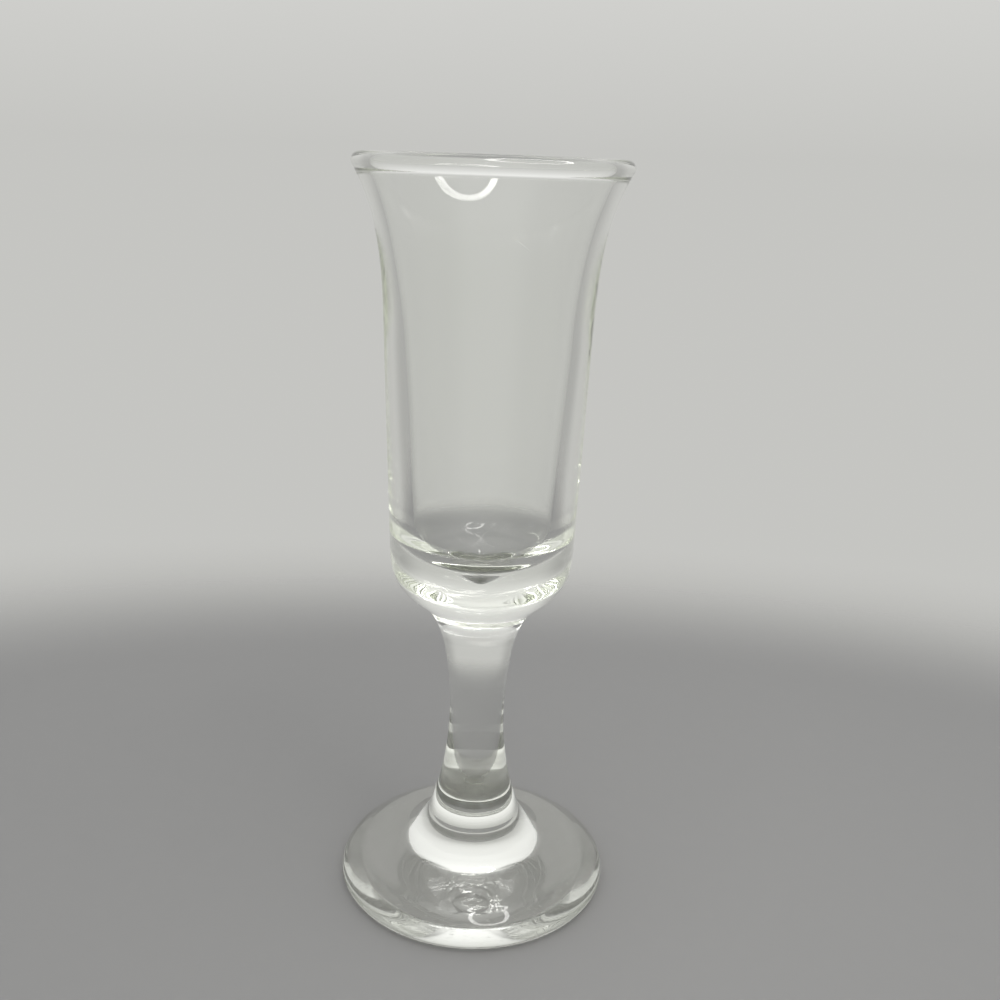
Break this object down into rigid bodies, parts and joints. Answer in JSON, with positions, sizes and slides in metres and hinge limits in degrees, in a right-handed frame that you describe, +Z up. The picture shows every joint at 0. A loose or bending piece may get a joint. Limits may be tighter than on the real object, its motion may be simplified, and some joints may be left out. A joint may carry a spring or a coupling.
{
  "type": "cordial glass",
  "caption": "Stemmed clear cordial glass: bell-mouthed bowl with a heavy base on a waisted stem and a round humped foot, for a small measure of liqueur.",
  "frame": {"origin": "centre of the plane that the foot's standing ring rests on", "axes": "+Z up the glass's axis, from the foot to the rim; the glass is round, so X and Y are free"},
  "size_m": [0.0472, 0.0472, 0.125],
  "materials": {
    "clear_glass": "fire-polished"
  },
  "bodies": {
    "root": {"bowl": "clear_glass", "stem": "clear_glass", "foot": "clear_glass"}
  },
  "joints": []
}
